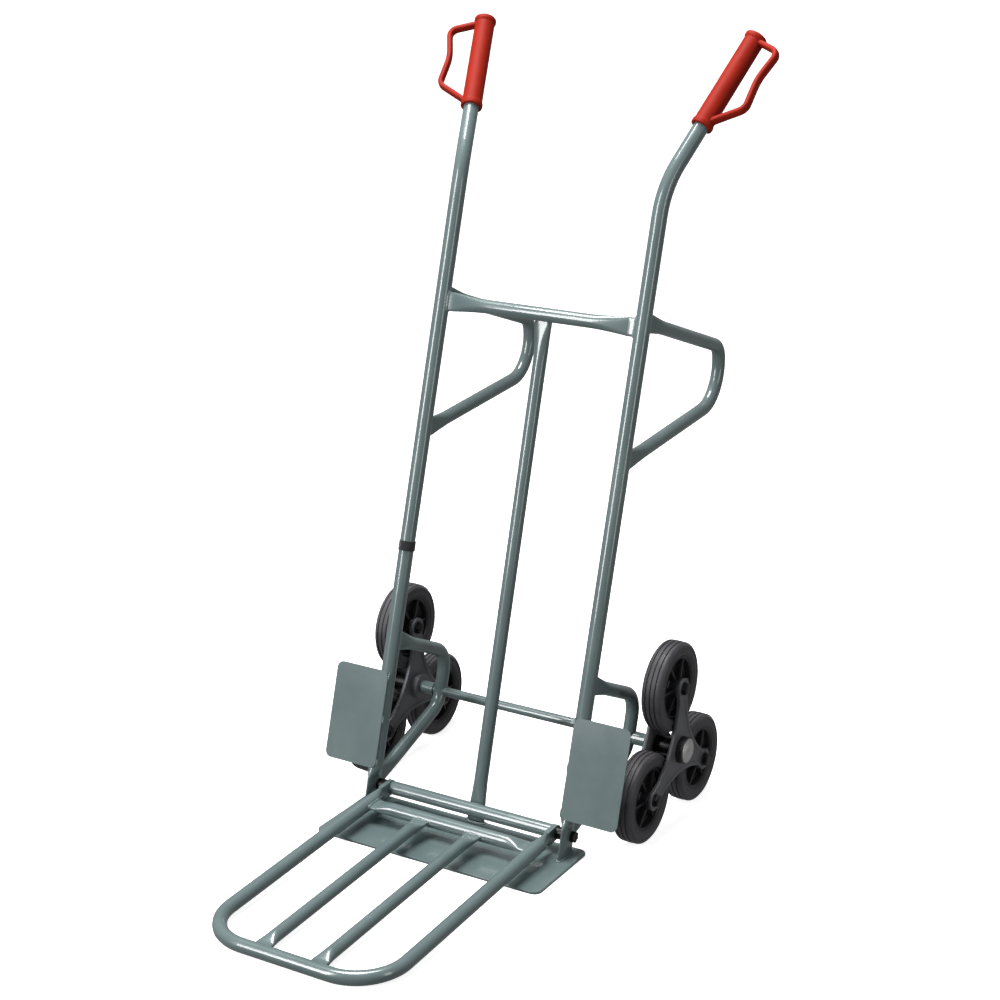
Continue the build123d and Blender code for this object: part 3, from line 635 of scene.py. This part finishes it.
sleeve_outline = np.array([
    (GRIP_LENGTH - GRIP_END, 0.5, 0), (GRIP_LENGTH - GRIP_END, TUBE_R, 0),
    (0, TUBE_R + 0.05, 0), (0, TUBE_R + 1.2, 0.6), (-0.2, COLLAR_R - 0.3, 1.6),
    (COLLAR_H - 2, COLLAR_R, 1.6), (COLLAR_H, COLLAR_R - 1.4, 1),
    (COLLAR_H + 1.6, GRIP_R, 1.2), (GRIP_LENGTH - COLLAR_H - 2, GRIP_R - 0.3, 1.2),
    (GRIP_LENGTH - COLLAR_H, COLLAR_R - 0.6, 1.2), (GRIP_LENGTH - COLLAR_H + 2, COLLAR_R, 1.2),
    (GRIP_LENGTH - 1.6, COLLAR_R, 2.2), (GRIP_LENGTH - 0.4, COLLAR_R - 4.5, 4),
    (GRIP_LENGTH, 0.5, 0)])
sleeve_profile = rounded(sleeve_outline[:, :2], sleeve_outline[:, 2], steps=5) * MM
# Corners of the guard bar, as distance out from the grip's axis and along it.
guard_corners = [(12, 163), (58, 151), (50, 98), (60, 45), (12, 12)]
guard_line = rounded(guard_corners, [0, 15, 90, 15, 0], steps=16)
BAR_HALF_T, BAR_HALF_W = 4.4, 7


def grip_grids(sign):
    """Sleeve and guard bar of one grip; sign mirrors them to the left."""
    mirror = np.array([sign, 1, 1])
    sleeve = turned(sleeve_profile, grip_low, grip_way, 72)
    line = grip_low + (guard_line[:, :1] * grip_out + guard_line[:, 1:] * grip_way) * MM
    flat = np.cross(grip_way, grip_out)
    bar = carried(line, oval(BAR_HALF_T, BAR_HALF_W, 0.62, 28) * MM, flat)
    return [(sleeve * mirror, False), (bar * mirror, False)]


for side, sign in SIDES.items():
    make_piece(f"moulded_grip_{side}", grip_grids(sign), grip_red, "frame",
               [f"grip_{side}"])

# %% [markdown]
# ## Strap
# The strap is a length of tape wound round the upright and pressed onto itself.  Its
# line is a circle that grows into a spiral where it overlaps itself.

# %% The parked strap
STRAP_H, STRAP_HALF, TAPE_T = 434, 8, 1.1
TAPE_GAP, TAPE_LIFT, TAPE_WAVE = 0.75, 1.25, 0.15
wind = np.linspace(-0.3 * np.pi, 2.02 * np.pi, 90)
tape_r = TUBE_R + TAPE_GAP + TAPE_LIFT * np.clip((wind - 1.6 * np.pi) / (0.35 * np.pi), 0, 1)
tape_r = tape_r + TAPE_WAVE * np.sin(5 * wind)
tape_line = at(-SIDE_X, 0, STRAP_H) + (
    np.outer(-tape_r * np.sin(wind), ACROSS) + np.outer(-tape_r * np.cos(wind), REAR)) * MM
tape = carried(tape_line, oval(TAPE_T / 2, STRAP_HALF, 0.35, 20) * MM, ALONG)
make_piece("strap_tape", [(tape, False)], webbing, "frame", ["fold_strap"])

# %% [markdown]
# ## Pressed tube ends
# Where a brace tube meets an upright, its end has been squashed in a press: the tube
# flares into a flat tongue with a crease at the edge of the press tool.  The metal
# doesn't stretch, so the way round the section stays the same length: as the height
# drops, the width grows by half of pi times that drop.

# %% Pressed tubes
PRESS_RUN, PRESS_FLAT, PRESS_HALF_T = 62, 11, 3.4
PRESS_EASE, PRESS_SQUARE, END_IN = 1.6, 0.5, 4      # END_IN: reach into the joined tube


def pressed_tube(line, radius, joined_r, up, press=PRESS_RUN, flat_half=PRESS_HALF_T,
                 steps=40):
    """Tube along a line in millimetres, both ends pressed flat.

    At distance d from the joined tube's surface the press is complete up to
    PRESS_FLAT, then eases off as (1 - share) to the power PRESS_EASE.  Half height is
    radius less its press share, half width follows the unchanged way round.
    """
    steps_run = np.r_[0, np.cumsum(np.linalg.norm(np.diff(line, axis=0), axis=1))]
    total = steps_run[-1]
    near = np.r_[np.linspace(0, PRESS_FLAT + joined_r, 5), np.linspace(
        PRESS_FLAT + joined_r + 0.5, press + joined_r, 18)]
    station = np.unique(np.r_[steps_run, near, total - near].round(4))
    station = station[(station >= joined_r - END_IN) & (station <= total - joined_r + END_IN)]
    path = np.stack([np.interp(station, steps_run, line[:, k]) for k in range(3)], -1)
    gap = np.minimum(station, total - station) - joined_r
    share = np.clip((gap - PRESS_FLAT) / (press - PRESS_FLAT), 0, 1)
    flat = (1 - share) ** PRESS_EASE
    high = radius - (radius - flat_half) * flat
    wide = high + (radius - high) * np.pi / 2
    angle = np.linspace(0, 2 * np.pi, steps, endpoint=False)
    power = (1 - PRESS_SQUARE * flat)[:, None]
    c, t = np.cos(angle)[None], np.sin(angle)[None]
    section = np.stack([wide[:, None] * np.sign(c) * np.abs(c) ** power,
                        high[:, None] * np.sign(t) * np.abs(t) ** power], -1)
    return carried(path * MM, section * MM, up)


def leaning(x, corners):
    """Corner points (behind, along) of the leaning frame, in millimetres, at x across."""
    return np.array([at(x, back, along) for back, along in corners]) / MM


BRACE_R, BAR_H = 11, 834
HUB_BACK, HUB_HIGH = 177.7, 126.0
HUB_ALONG = (HUB_HIGH + HUB_BACK * np.sin(LEAN)) / np.cos(LEAN)
BAR_PRESS, BRACE_PRESS, CROSS_PRESS, SLAT_PRESS = 78, 52, 40, 36
bar_line = np.vstack([leaning(x, [(0, BAR_H)]) for x in (-SIDE_X, SIDE_X)])
make_piece("pressed_cross_bar", [(pressed_tube(
    bar_line, BRACE_R, TUBE_R, REAR, BAR_PRESS), False)],
    enamel, "frame", ["upper_cross_bar"])

CENTRE_BACK, CENTRE_RUN, LAP_BACK, LAP_HALF_T = 22, 75, 15.5, 4.4
CENTRE_FOOT, CENTRE_PAST = (0, 37.0, 4.0), BRACE_R - 3
centre_ends = np.array([CENTRE_FOOT, at(0, CENTRE_BACK, BAR_H) / MM])
centre_way = unit(centre_ends[1] - centre_ends[0])
ease = np.linspace(0, 1, 16)
lap = (LAP_BACK - CENTRE_BACK) * REAR * (ease ** 2 * (3 - 2 * ease))[:, None]
centre_line = np.vstack([
    centre_ends[0] - centre_way * CENTRE_PAST,
    centre_ends[1] + centre_way * (ease[:, None] - 1) * CENTRE_RUN + lap,
    centre_ends[1] + centre_way * CENTRE_PAST + lap[-1]])
make_piece("pressed_centre_tube", [(pressed_tube(
    centre_line, BRACE_R, BRACE_R, np.cross(ACROSS, centre_way), CENTRE_RUN,
    flat_half=LAP_HALF_T), False)], enamel, "frame", ["centre_tube"])

LOOP_BENDS, BRACE_BENDS, BEND_STEPS = [0, 30, 70, 60, 0], [0, 40, 40, 0], 14
loop_corners = [(0, BAR_H + 10), (298, BAR_H - 7), (318, BAR_H - 59), (290, BAR_H - 107),
                (0, BAR_H - 211)]
brace_corners = [(0, HUB_ALONG + 99), (HUB_BACK, HUB_ALONG + 69), (HUB_BACK, HUB_ALONG - 22),
                 (0, HUB_ALONG - 142)]
loop_line = {side: rounded(leaning(sign * SIDE_X, loop_corners), LOOP_BENDS, BEND_STEPS)
             for side, sign in SIDES.items()}
brace_line = {side: rounded(leaning(sign * SIDE_X, brace_corners), BRACE_BENDS, BEND_STEPS)
              for side, sign in SIDES.items()}
for side in SIDES:
    make_piece(f"pressed_side_loop_{side}",
               [(pressed_tube(loop_line[side], BRACE_R, TUBE_R, ACROSS), False)],
               enamel, "frame", [f"side_loop_{side}"])
    make_piece(f"pressed_axle_loop_{side}",
               [(pressed_tube(brace_line[side], BRACE_R, TUBE_R, ACROSS, BRACE_PRESS), False)],
               enamel, "frame", [f"axle_loop_{side}"])

# %% [markdown]
# The shovel's own cross tube and slats are made the same way, in the shovel's plane,
# which drops a little towards its front bar so that the bar rests on the floor.

# %% The shovel's pressed tubes
PIVOT = at(0, 13, 37) / MM
SHOVEL_REACH, SHOVEL_X, SHOVEL_CROSS, SLAT_X, SLAT_R = 507, 154, 64, 48, 10
DROOP = np.arcsin((PIVOT[2] - BRACE_R) / SHOVEL_REACH)
SHOVEL_UP = np.array([0, -np.sin(DROOP), np.cos(DROOP)])
SHOVEL_OUT = np.array([0, -np.cos(DROOP), -np.sin(DROOP)])


def on_shovel(x, reach):
    """Point in the shovel's plane, in millimetres."""
    return PIVOT + x * ACROSS + reach * SHOVEL_OUT


cross_line = np.array([on_shovel(-SHOVEL_X, SHOVEL_CROSS), on_shovel(SHOVEL_X, SHOVEL_CROSS)])
make_piece("pressed_shovel_cross", [(pressed_tube(
    cross_line, BRACE_R, BRACE_R, SHOVEL_UP, CROSS_PRESS), False)],
    enamel, "shovel", ["shovel_cross_tube"])
for side, sign in SIDES.items():
    slat_line = np.array([on_shovel(sign * SLAT_X, SHOVEL_CROSS),
                          on_shovel(sign * SLAT_X, SHOVEL_REACH)])
    make_piece(f"pressed_slat_{side}", [(pressed_tube(
        slat_line, SLAT_R, BRACE_R, SHOVEL_UP, SLAT_PRESS), False)],
        enamel, "shovel", [f"shovel_slat_{side}"])

# %% [markdown]
# ## Weld beads
# Each joint is closed by a fillet weld, painted over with the rest.  The bead follows
# the line where the pressed tube meets the round one, found by sending every point of
# the pressed outline forwards until it is one radius from the round tube's axis.  The
# small ripples are the steps of the welder's hand.

# %% Beads
RIPPLE_MM, BEAD_R_MM = 3.2, 2.1


def bead(path, normal, closed=True, radius=BEAD_R_MM):
    """Round bead on a path in millimetres, swelling once every RIPPLE_MM."""
    if closed:
        ahead = unit(np.roll(path, -1, 0) - np.roll(path, 1, 0))
    else:
        ahead = unit(np.gradient(path, axis=0))
    side = unit(np.cross(ahead, normal))
    lift = np.cross(side, ahead)
    run = np.r_[0, np.cumsum(np.linalg.norm(np.diff(path, axis=0), axis=1))]
    swell = radius * (0.86 + 0.2 * np.abs(np.sin(np.pi * run / RIPPLE_MM)))
    if not closed:
        swell = swell * np.sqrt(np.clip(4 * run * (run[-1] - run) / run[-1] ** 2, 0.02, 1))
    angle = np.linspace(0, 2 * np.pi, 10, endpoint=False)[None, :, None]
    ring = np.cos(angle) * side[:, None] + np.sin(angle) * lift[:, None]
    return (path[:, None] + swell[:, None, None] * ring) * MM, closed


def weld(end, way, wide_way, radius, joined_axis, joined_r, half_t=PRESS_HALF_T):
    """Bead round a pressed end where it meets a round tube.

    Each outline point moves along way by the larger root of the quadratic that sets
    its distance from the joined tube's axis to joined_r.
    """
    way, wide_way = unit(way), unit(wide_way)
    half_w = half_t + (radius - half_t) * np.pi / 2
    shape = oval(half_w, half_t, PRESS_SQUARE, 110)
    start = end + shape[:, :1] * wide_way + shape[:, 1:] * np.cross(way, wide_way)
    axis = unit(joined_axis)
    flat = (start - end) - ((start - end) @ axis)[:, None] * axis
    run = way - (way @ axis) * axis
    a, b = run @ run, 2 * flat @ run
    c = (flat ** 2).sum(-1) - joined_r ** 2
    far = (-b + np.sqrt(np.maximum(b * b - 4 * a * c, 0))) / (2 * a)
    path = start + far[:, None] * way
    out = path - end
    return bead(path, unit(out - (out @ axis)[:, None] * axis))


def loop_welds(line):
    """Welds at both ends of a loop that starts and ends on an upright."""
    return [weld(end, inner - end, np.cross(ACROSS, inner - end), BRACE_R, ALONG, TUBE_R)
            for end, inner in ((line[0], line[1]), (line[-1], line[-2]))]


BEAD_HIGH, ROW_POINTS = 4.2, 40      # foot beads lie just above the plate's top


def foot_weld(centre, half_x, half_y):
    """Bead round a flattened foot on top of the toe plate."""
    shape = oval(half_x, half_y, 0.8, 120)
    path = np.column_stack([centre[0] + shape[:, 0], centre[1] + shape[:, 1],
                            np.full(len(shape), BEAD_HIGH)])
    return bead(path, np.broadcast_to([0, 0, 1.0], path.shape))


def leaning_row(half, back, along):
    """Points across the truck, in millimetres, at one place behind and along."""
    across = np.linspace(-half, half, ROW_POINTS)[:, None] * ACROSS
    return leaning(0, [(back, along)] * ROW_POINTS) + across


FOOT_Y, STITCH_LOWS, GUARD_FRONT = 6.3, (68, 139, 211), -11.6
row = np.ones((ROW_POINTS, 1))
frame_welds = [foot_weld(CENTRE_FOOT[:2], 17, 4.6),
               weld(bar_line[0], ACROSS, ALONG, BRACE_R, ALONG, TUBE_R),
               weld(bar_line[1], -ACROSS, ALONG, BRACE_R, ALONG, TUBE_R),
               bead(leaning_row(14, BRACE_R - 0.5, BAR_H - 5.5), -ALONG * row, False),
               bead(leaning_row(15, BRACE_R + 1.5, BAR_H + 2), ALONG * row, False)]
GUARD_EDGE, STITCH = 171.4, 15
for side, sign in SIDES.items():
    frame_welds += loop_welds(loop_line[side])
    frame_welds += loop_welds(brace_line[side])[:1]
    frame_welds.append(foot_weld((sign * SIDE_X, FOOT_Y), 4.8, 23))
    for low in STITCH_LOWS:
        run = np.linspace(low, low + STITCH, 24)
        stitch = leaning(sign * GUARD_EDGE, [(GUARD_FRONT, h) for h in run])
        frame_welds.append(bead(stitch, np.broadcast_to(-REAR, stitch.shape), False, 2.0))
make_piece("weld_beads_frame", frame_welds, enamel, "frame", crease=60)

shovel_welds = []
for sign in SIDES.values():
    shovel_welds.append(weld(on_shovel(sign * SHOVEL_X, SHOVEL_CROSS), -sign * ACROSS,
                             SHOVEL_OUT, BRACE_R, SHOVEL_OUT, BRACE_R))
    for reach, way in ((SHOVEL_CROSS, SHOVEL_OUT), (SHOVEL_REACH, -SHOVEL_OUT)):
        shovel_welds.append(weld(on_shovel(sign * SLAT_X, reach), way, ACROSS, SLAT_R,
                                 ACROSS, BRACE_R))
make_piece("weld_beads_shovel", shovel_welds, enamel, "shovel", crease=60)

# %% [markdown]
# ## Floor, light and camera
# A plain pale floor, a soft light from the left front that draws the long highlights on
# the tubes, a weaker one from the right, a wide one above, and a dim surrounding.  The
# floor is hidden from reflections and from bounced light, which a real floor isn't, so
# that the undersides of the tubes stay dark.

# %% Floor and backdrop
FLOOR_FRONT, FLOOR_BACK, SWEEP_R, WALL_TOP, FLOOR_SIDE = -9.0, 6.0, 3.0, 12.0, 14.0
backdrop_line = rounded([(FLOOR_FRONT, 0), (FLOOR_BACK, 0), (FLOOR_BACK, WALL_TOP)],
                        [0, SWEEP_R, 0], steps=24)
backdrop = np.stack([np.stack([np.full(len(backdrop_line), x), *backdrop_line.T], -1)
                     for x in (-FLOOR_SIDE, FLOOR_SIDE)], 1)
backdrop[..., 2] -= 0.4 * MM
strip = np.arange(len(backdrop_line) - 1)[:, None] * 2
floor_mesh = bpy.data.meshes.new("studio_floor")
floor_mesh.from_pydata(backdrop.reshape(-1, 3), [], (strip + [0, 1, 3, 2]).tolist())
floor_mesh.polygons.foreach_set("use_smooth", np.ones(len(strip), bool))
floor_paint, _, _, _ = base_finish(
    "matt_white_studio_floor", "#f6f6f6", "#f3f3f3", cloud_mm=700, grain_mm=30,
    lift_mm=0.05, rough=(0.75, 0.85), Emission_Color=(1, 1, 1, 1), Emission_Strength=0.8)
floor_mesh.materials.append(floor_paint)
floor = bpy.data.objects.new("studio_floor", floor_mesh)
bpy.context.scene.collection.objects.link(floor)
floor.visible_glossy = False
floor.visible_diffuse = False
print("floor and backdrop,", len(strip), "strips")

# %% Lights
def soft_light(name, place, target, size, power, height=None):
    """An area light at place, turned to face target."""
    lamp = bpy.data.lights.new(name, "AREA")
    lamp.shape = "RECTANGLE"
    lamp.size, lamp.size_y, lamp.energy = size, height or size, power
    holder = bpy.data.objects.new(name, lamp)
    holder.location = place
    holder.rotation_euler = (Vector(target) - Vector(place)).to_track_quat("-Z", "Y").to_euler()
    bpy.context.scene.collection.objects.link(holder)


TARGET, SURROUND = (0, 0.1, 0.6), 0.22
soft_light("key_softbox", (-1.5, -2.9, 2.0), TARGET, 0.8, 100, 2.6)
soft_light("fill_softbox", (3.6, -0.9, 1.4), TARGET, 0.8, 22, 2.2)
soft_light("top_softbox", (-0.9, 0.2, 4.6), TARGET, 2.2, 290)
world = bpy.data.worlds.new("studio_surround")
bpy.context.scene.world = world
world.use_nodes = True
background = world.node_tree.nodes["Background"]
background.inputs["Color"].default_value = (1, 1, 1, 1)
background.inputs["Strength"].default_value = SURROUND

# %% Camera
SENSOR_MM, LENS_MM, ROLL = 36, 75.53, np.radians(0.67)
CAMERA_AT, LOOK_AT = (1.5663, -2.5925, 1.5331), (-0.0593, 0.2062, 0.4917)
camera_data = bpy.data.cameras.new("view")
camera_data.sensor_width, camera_data.lens = SENSOR_MM, LENS_MM
camera_data.clip_end = 100
camera = bpy.data.objects.new("view", camera_data)
camera.location = CAMERA_AT
look = Vector(LOOK_AT) - camera.location
aim = look.to_track_quat("-Z", "Y").to_matrix().to_4x4()
camera.rotation_euler = (aim @ Matrix.Rotation(ROLL, 4, "Z")).to_euler()
bpy.context.scene.collection.objects.link(camera)
bpy.context.scene.camera = camera
bpy.context.scene.view_settings.view_transform = "Standard"
